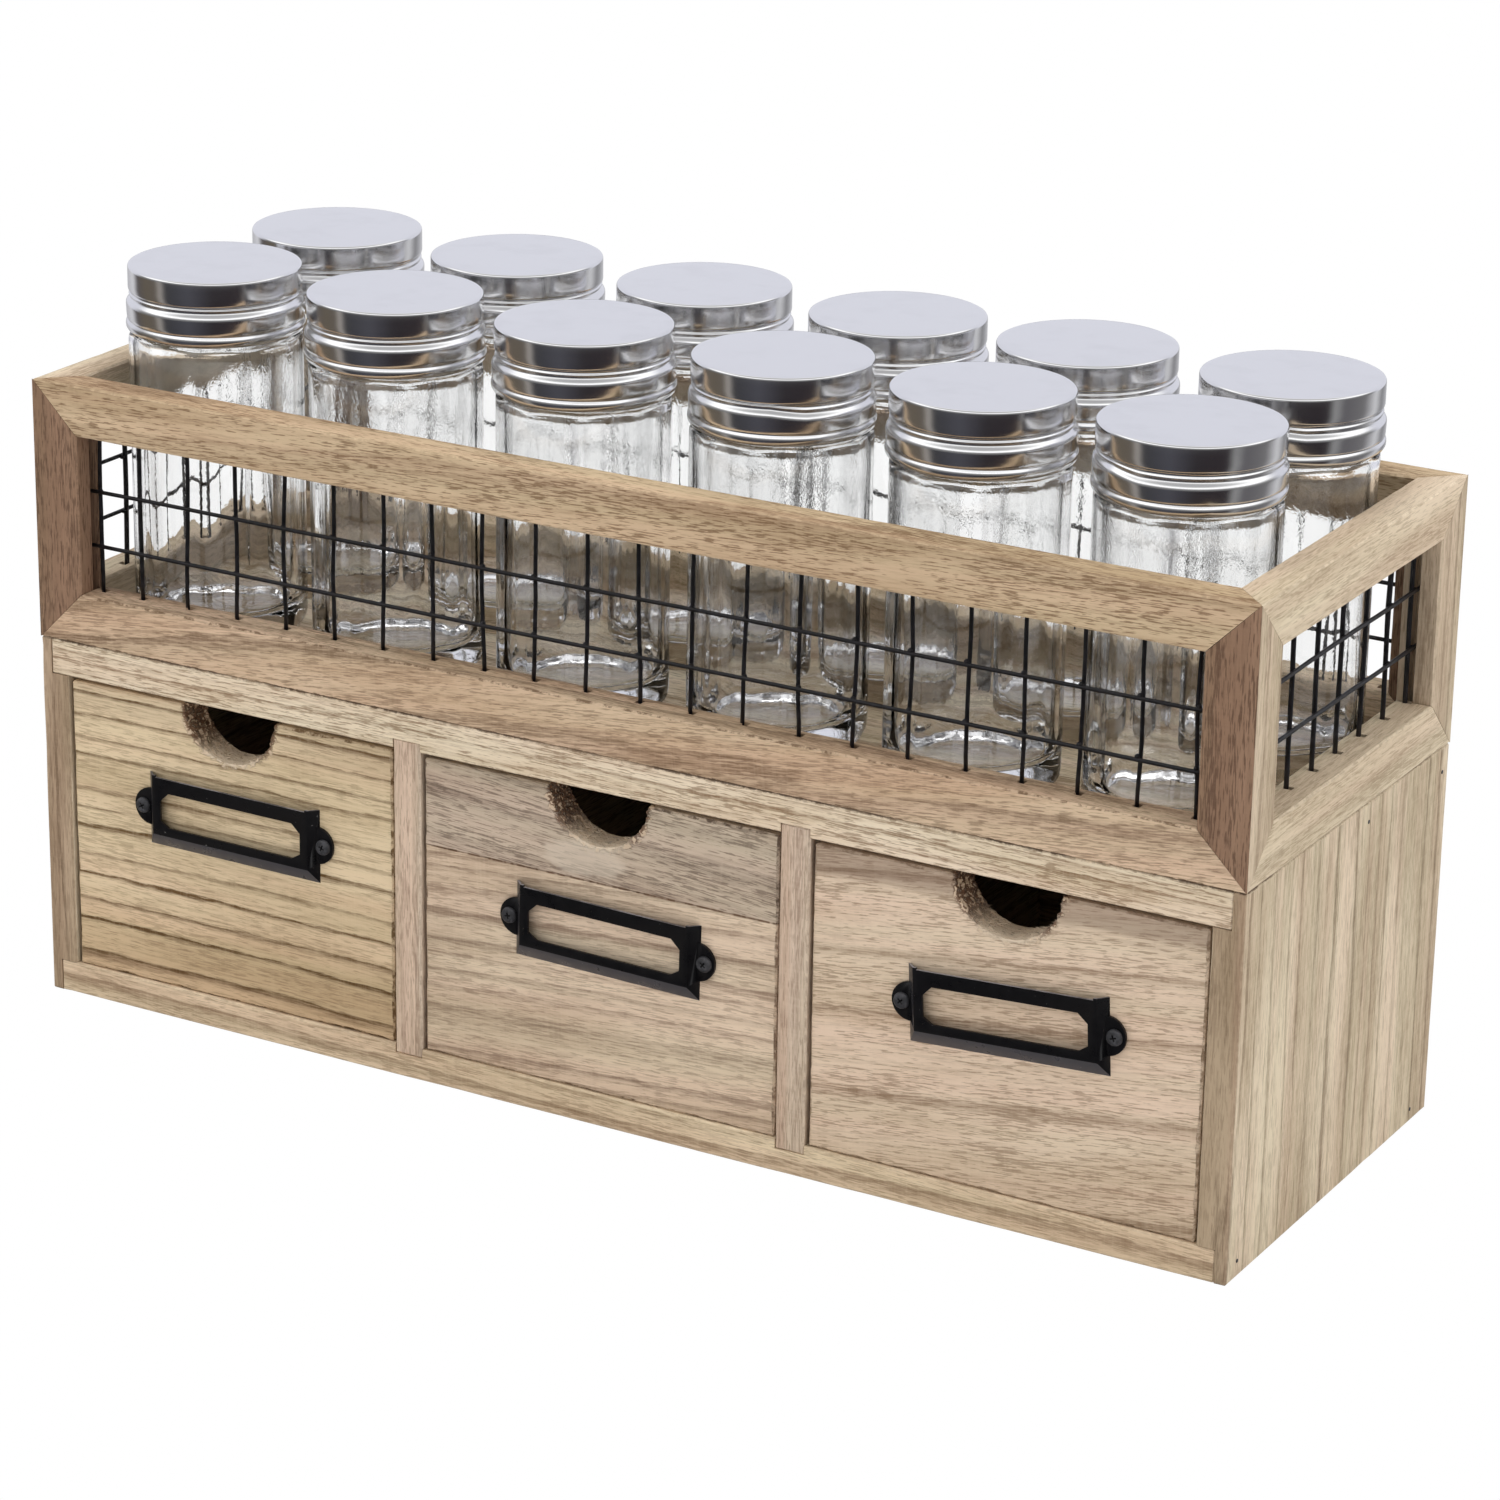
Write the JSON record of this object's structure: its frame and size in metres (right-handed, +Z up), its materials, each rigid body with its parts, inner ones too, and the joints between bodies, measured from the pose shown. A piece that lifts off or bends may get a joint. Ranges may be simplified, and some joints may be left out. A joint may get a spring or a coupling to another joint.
{
  "type": "spice drawer cabinet",
  "caption": "Low wooden cabinet with a row of drawers, under a mitred wire-mesh tray that holds screw-lid glass spice jars.",
  "frame": {"origin": "centre of the underside, at the middle of the whole length and depth", "axes": "+X along the front to the right, +Y from the drawer fronts to the back, +Z up"},
  "size_m": [0.343, 0.1226, 0.196],
  "materials": {
    "cabinet_wood": "raw sawn paulownia, sanded",
    "panel_wood": "thin raw plywood",
    "rail_wood": "raw sawn paulownia rail, sanded",
    "stile_wood": "raw sawn paulownia stile, sanded",
    "drawer_1_wood": "strongly striped raw paulownia",
    "drawer_2_wood": "greyish raw paulownia in two glued strips",
    "drawer_3_wood": "fine-grained raw paulownia",
    "drawer_box_wood": "raw paulownia drawer sides and backs",
    "black_wire": "black coated wire",
    "black_steel": "satin black lacquer",
    "screw_steel": "blackened steel",
    "jar_glass": "clear pressed glass",
    "lid_metal": "polished tinplate"
  },
  "bodies": {
    "cabinet": {"cabinet_left_side": "cabinet_wood", "cabinet_right_side": "cabinet_wood", "cabinet_top": "cabinet_wood", "cabinet_bottom": "cabinet_wood", "cabinet_dividers": "cabinet_wood", "cabinet_back": "panel_wood", "tray_front_bottom_rail": "rail_wood", "tray_front_top_rail": "rail_wood", "tray_back_bottom_rail": "rail_wood", "tray_back_top_rail": "rail_wood", "tray_left_rails": "rail_wood", "tray_right_rails": "rail_wood", "tray_long_stiles": "stile_wood", "tray_end_stiles": "stile_wood", "tray_front_mesh": "black_wire", "tray_back_mesh": "black_wire", "tray_left_mesh": "black_wire", "tray_right_mesh": "black_wire"},
    "drawer_1": {"drawer_1_front": "drawer_1_wood", "drawer_1_sides": "drawer_box_wood", "drawer_1_back": "drawer_box_wood", "drawer_1_bottom": "panel_wood", "drawer_1_label_holder": "black_steel", "drawer_1_label_screws": "screw_steel"},
    "drawer_2": {"drawer_2_front": "drawer_2_wood", "drawer_2_sides": "drawer_box_wood", "drawer_2_back": "drawer_box_wood", "drawer_2_bottom": "panel_wood", "drawer_2_label_holder": "black_steel", "drawer_2_label_screws": "screw_steel"},
    "drawer_3": {"drawer_3_front": "drawer_3_wood", "drawer_3_sides": "drawer_box_wood", "drawer_3_back": "drawer_box_wood", "drawer_3_bottom": "panel_wood", "drawer_3_label_holder": "black_steel", "drawer_3_label_screws": "screw_steel"},
    "jar_front_1": {"jar_front_1": "jar_glass"},
    "lid_front_1": {"lid_front_1": "lid_metal"},
    "jar_front_2": {"jar_front_2": "jar_glass"},
    "lid_front_2": {"lid_front_2": "lid_metal"},
    "jar_front_3": {"jar_front_3": "jar_glass"},
    "lid_front_3": {"lid_front_3": "lid_metal"},
    "jar_front_4": {"jar_front_4": "jar_glass"},
    "lid_front_4": {"lid_front_4": "lid_metal"},
    "jar_front_5": {"jar_front_5": "jar_glass"},
    "lid_front_5": {"lid_front_5": "lid_metal"},
    "jar_front_6": {"jar_front_6": "jar_glass"},
    "lid_front_6": {"lid_front_6": "lid_metal"},
    "jar_back_1": {"jar_back_1": "jar_glass"},
    "lid_back_1": {"lid_back_1": "lid_metal"},
    "jar_back_2": {"jar_back_2": "jar_glass"},
    "lid_back_2": {"lid_back_2": "lid_metal"},
    "jar_back_3": {"jar_back_3": "jar_glass"},
    "lid_back_3": {"lid_back_3": "lid_metal"},
    "jar_back_4": {"jar_back_4": "jar_glass"},
    "lid_back_4": {"lid_back_4": "lid_metal"},
    "jar_back_5": {"jar_back_5": "jar_glass"},
    "lid_back_5": {"lid_back_5": "lid_metal"},
    "jar_back_6": {"jar_back_6": "jar_glass"},
    "lid_back_6": {"lid_back_6": "lid_metal"}
  },
  "joints": [
    {"name": "drawer_1_slide", "type": "slide", "parent": "cabinet", "child": "drawer_1", "axis": [0, -1, 0], "range_m": [0, 0.09]},
    {"name": "drawer_2_slide", "type": "slide", "parent": "cabinet", "child": "drawer_2", "axis": [0, -1, 0], "range_m": [0, 0.09]},
    {"name": "drawer_3_slide", "type": "slide", "parent": "cabinet", "child": "drawer_3", "axis": [0, -1, 0], "range_m": [0, 0.09]},
    {"name": "jar_front_1_lift", "type": "slide", "parent": "cabinet", "child": "jar_front_1", "axis": [0, 0, 1], "range_m": [0, 0.075]},
    {"name": "lid_front_1_lift", "type": "slide", "parent": "jar_front_1", "child": "lid_front_1", "axis": [0, 0, 1], "range_m": [0, 0.03]},
    {"name": "jar_front_2_lift", "type": "slide", "parent": "cabinet", "child": "jar_front_2", "axis": [0, 0, 1], "range_m": [0, 0.075]},
    {"name": "lid_front_2_lift", "type": "slide", "parent": "jar_front_2", "child": "lid_front_2", "axis": [0, 0, 1], "range_m": [0, 0.03]},
    {"name": "jar_front_3_lift", "type": "slide", "parent": "cabinet", "child": "jar_front_3", "axis": [0, 0, 1], "range_m": [0, 0.075]},
    {"name": "lid_front_3_lift", "type": "slide", "parent": "jar_front_3", "child": "lid_front_3", "axis": [0, 0, 1], "range_m": [0, 0.03]},
    {"name": "jar_front_4_lift", "type": "slide", "parent": "cabinet", "child": "jar_front_4", "axis": [0, 0, 1], "range_m": [0, 0.075]},
    {"name": "lid_front_4_lift", "type": "slide", "parent": "jar_front_4", "child": "lid_front_4", "axis": [0, 0, 1], "range_m": [0, 0.03]},
    {"name": "jar_front_5_lift", "type": "slide", "parent": "cabinet", "child": "jar_front_5", "axis": [0, 0, 1], "range_m": [0, 0.075]},
    {"name": "lid_front_5_lift", "type": "slide", "parent": "jar_front_5", "child": "lid_front_5", "axis": [0, 0, 1], "range_m": [0, 0.03]},
    {"name": "jar_front_6_lift", "type": "slide", "parent": "cabinet", "child": "jar_front_6", "axis": [0, 0, 1], "range_m": [0, 0.075]},
    {"name": "lid_front_6_lift", "type": "slide", "parent": "jar_front_6", "child": "lid_front_6", "axis": [0, 0, 1], "range_m": [0, 0.03]},
    {"name": "jar_back_1_lift", "type": "slide", "parent": "cabinet", "child": "jar_back_1", "axis": [0, 0, 1], "range_m": [0, 0.075]},
    {"name": "lid_back_1_lift", "type": "slide", "parent": "jar_back_1", "child": "lid_back_1", "axis": [0, 0, 1], "range_m": [0, 0.03]},
    {"name": "jar_back_2_lift", "type": "slide", "parent": "cabinet", "child": "jar_back_2", "axis": [0, 0, 1], "range_m": [0, 0.075]},
    {"name": "lid_back_2_lift", "type": "slide", "parent": "jar_back_2", "child": "lid_back_2", "axis": [0, 0, 1], "range_m": [0, 0.03]},
    {"name": "jar_back_3_lift", "type": "slide", "parent": "cabinet", "child": "jar_back_3", "axis": [0, 0, 1], "range_m": [0, 0.075]},
    {"name": "lid_back_3_lift", "type": "slide", "parent": "jar_back_3", "child": "lid_back_3", "axis": [0, 0, 1], "range_m": [0, 0.03]},
    {"name": "jar_back_4_lift", "type": "slide", "parent": "cabinet", "child": "jar_back_4", "axis": [0, 0, 1], "range_m": [0, 0.075]},
    {"name": "lid_back_4_lift", "type": "slide", "parent": "jar_back_4", "child": "lid_back_4", "axis": [0, 0, 1], "range_m": [0, 0.03]},
    {"name": "jar_back_5_lift", "type": "slide", "parent": "cabinet", "child": "jar_back_5", "axis": [0, 0, 1], "range_m": [0, 0.075]},
    {"name": "lid_back_5_lift", "type": "slide", "parent": "jar_back_5", "child": "lid_back_5", "axis": [0, 0, 1], "range_m": [0, 0.03]},
    {"name": "jar_back_6_lift", "type": "slide", "parent": "cabinet", "child": "jar_back_6", "axis": [0, 0, 1], "range_m": [0, 0.075]},
    {"name": "lid_back_6_lift", "type": "slide", "parent": "jar_back_6", "child": "lid_back_6", "axis": [0, 0, 1], "range_m": [0, 0.03]}
  ]
}
